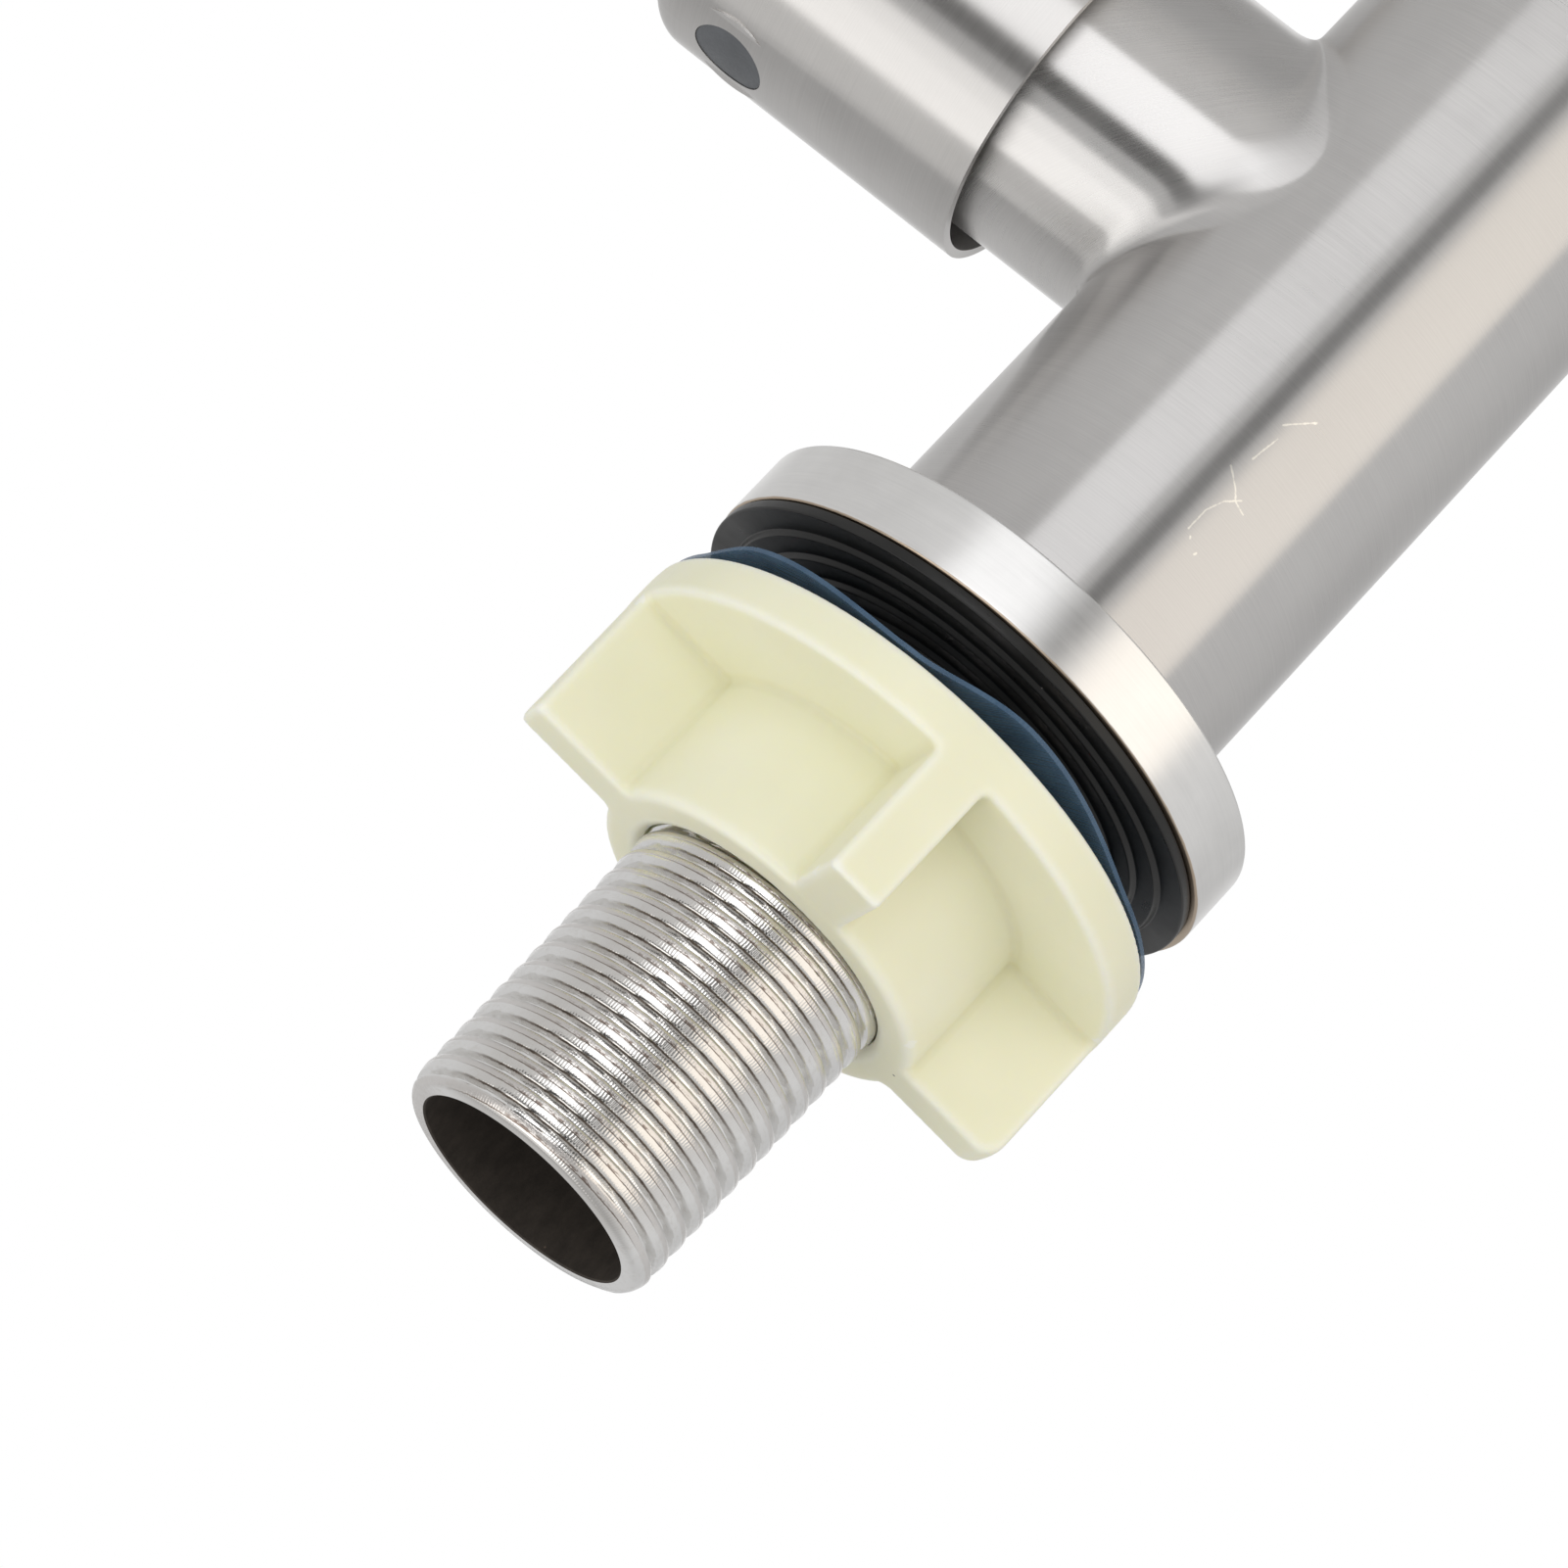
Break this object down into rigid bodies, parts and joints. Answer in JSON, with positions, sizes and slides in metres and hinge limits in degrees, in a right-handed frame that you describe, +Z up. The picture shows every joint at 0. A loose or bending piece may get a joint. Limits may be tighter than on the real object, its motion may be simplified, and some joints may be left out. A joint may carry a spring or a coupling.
{
  "type": "water filter faucet",
  "caption": "Deck-mounted stainless water filter tap: straight brushed body, side lever valve, swivel gooseneck spout, and threaded shank with gasket and plastic wing nut.",
  "frame": {"origin": "centre of the gasket's underside, on the deck plane and the body's axis", "axes": "+Z up along the body, +X along the valve branch to the handle, -Y the way the spout points at rest"},
  "size_m": [0.0759, 0.1736, 0.345],
  "materials": {
    "body_steel": "brushed round the body",
    "ring_steel": "fine turned",
    "shank_steel": "bright cut thread",
    "handle_steel": "brushed round the branch's axis",
    "spout_steel": "brushed round the tube",
    "mesh_steel": "wire",
    "clip_steel": "spring steel",
    "dark_steel": "blackened",
    "ivory_plastic": "satin moulded",
    "clear_plastic": "thin clear sheet",
    "grey_plastic": "satin",
    "white_plastic": "moulded",
    "black_rubber": "satin moulded",
    "brass": "machined",
    "disc_ceramic": "lapped"
  },
  "bodies": {
    "faucet_body": {"body_shell": "body_steel", "base_ring": "ring_steel", "shank": "shank_steel", "base_gasket": "black_rubber", "waterway_core": "brass", "core_seal": "black_rubber", "seat_seal": "black_rubber", "fixed_disc": "disc_ceramic", "cartridge_body": "brass", "cartridge_gasket": "black_rubber", "spout_seat": "brass", "lower_slip_ring": "white_plastic", "upper_slip_ring": "white_plastic", "swivel_collar": "ring_steel"},
    "handle": {"handle_cap": "handle_steel", "handle_lever": "handle_steel", "clamp_screw": "dark_steel", "screw_plug": "grey_plastic", "cartridge_stem": "brass", "stem_seals": "black_rubber", "stem_clip": "clip_steel", "moving_disc": "disc_ceramic"},
    "spout": {"spout_tube": "spout_steel", "spout_spigot": "brass", "spigot_seals": "black_rubber", "aerator_housing": "ring_steel", "aerator_washer": "black_rubber", "aerator_insert": "white_plastic", "aerator_mesh": "mesh_steel"},
    "washer_carrier": {"slip_washer": "clear_plastic"},
    "nut": {"wing_nut": "ivory_plastic"}
  },
  "joints": [
    {"name": "handle_turn", "type": "hinge", "parent": "faucet_body", "child": "handle", "pos_m": [0, 0, 0.0465], "axis": [1, 0, 0], "range_deg": [0, 90]},
    {"name": "spout_swivel", "type": "hinge", "parent": "faucet_body", "child": "spout", "pos_m": [0, 0, 0.1], "axis": [0, 0, 1], "continuous": true},
    {"name": "nut_travel", "type": "slide", "parent": "faucet_body", "child": "washer_carrier", "axis": [0, 0, 1], "range_m": [-0.024, 0.0019]},
    {"name": "nut_turn", "type": "hinge", "parent": "washer_carrier", "child": "nut", "pos_m": [0, 0, -0.0115], "axis": [0, 0, 1], "range_deg": [-4700, 375]}
  ],
  "couplings": [
    {"joint": "nut_travel", "follows": "nut_turn", "m_per_rad": 0.00028871}
  ]
}
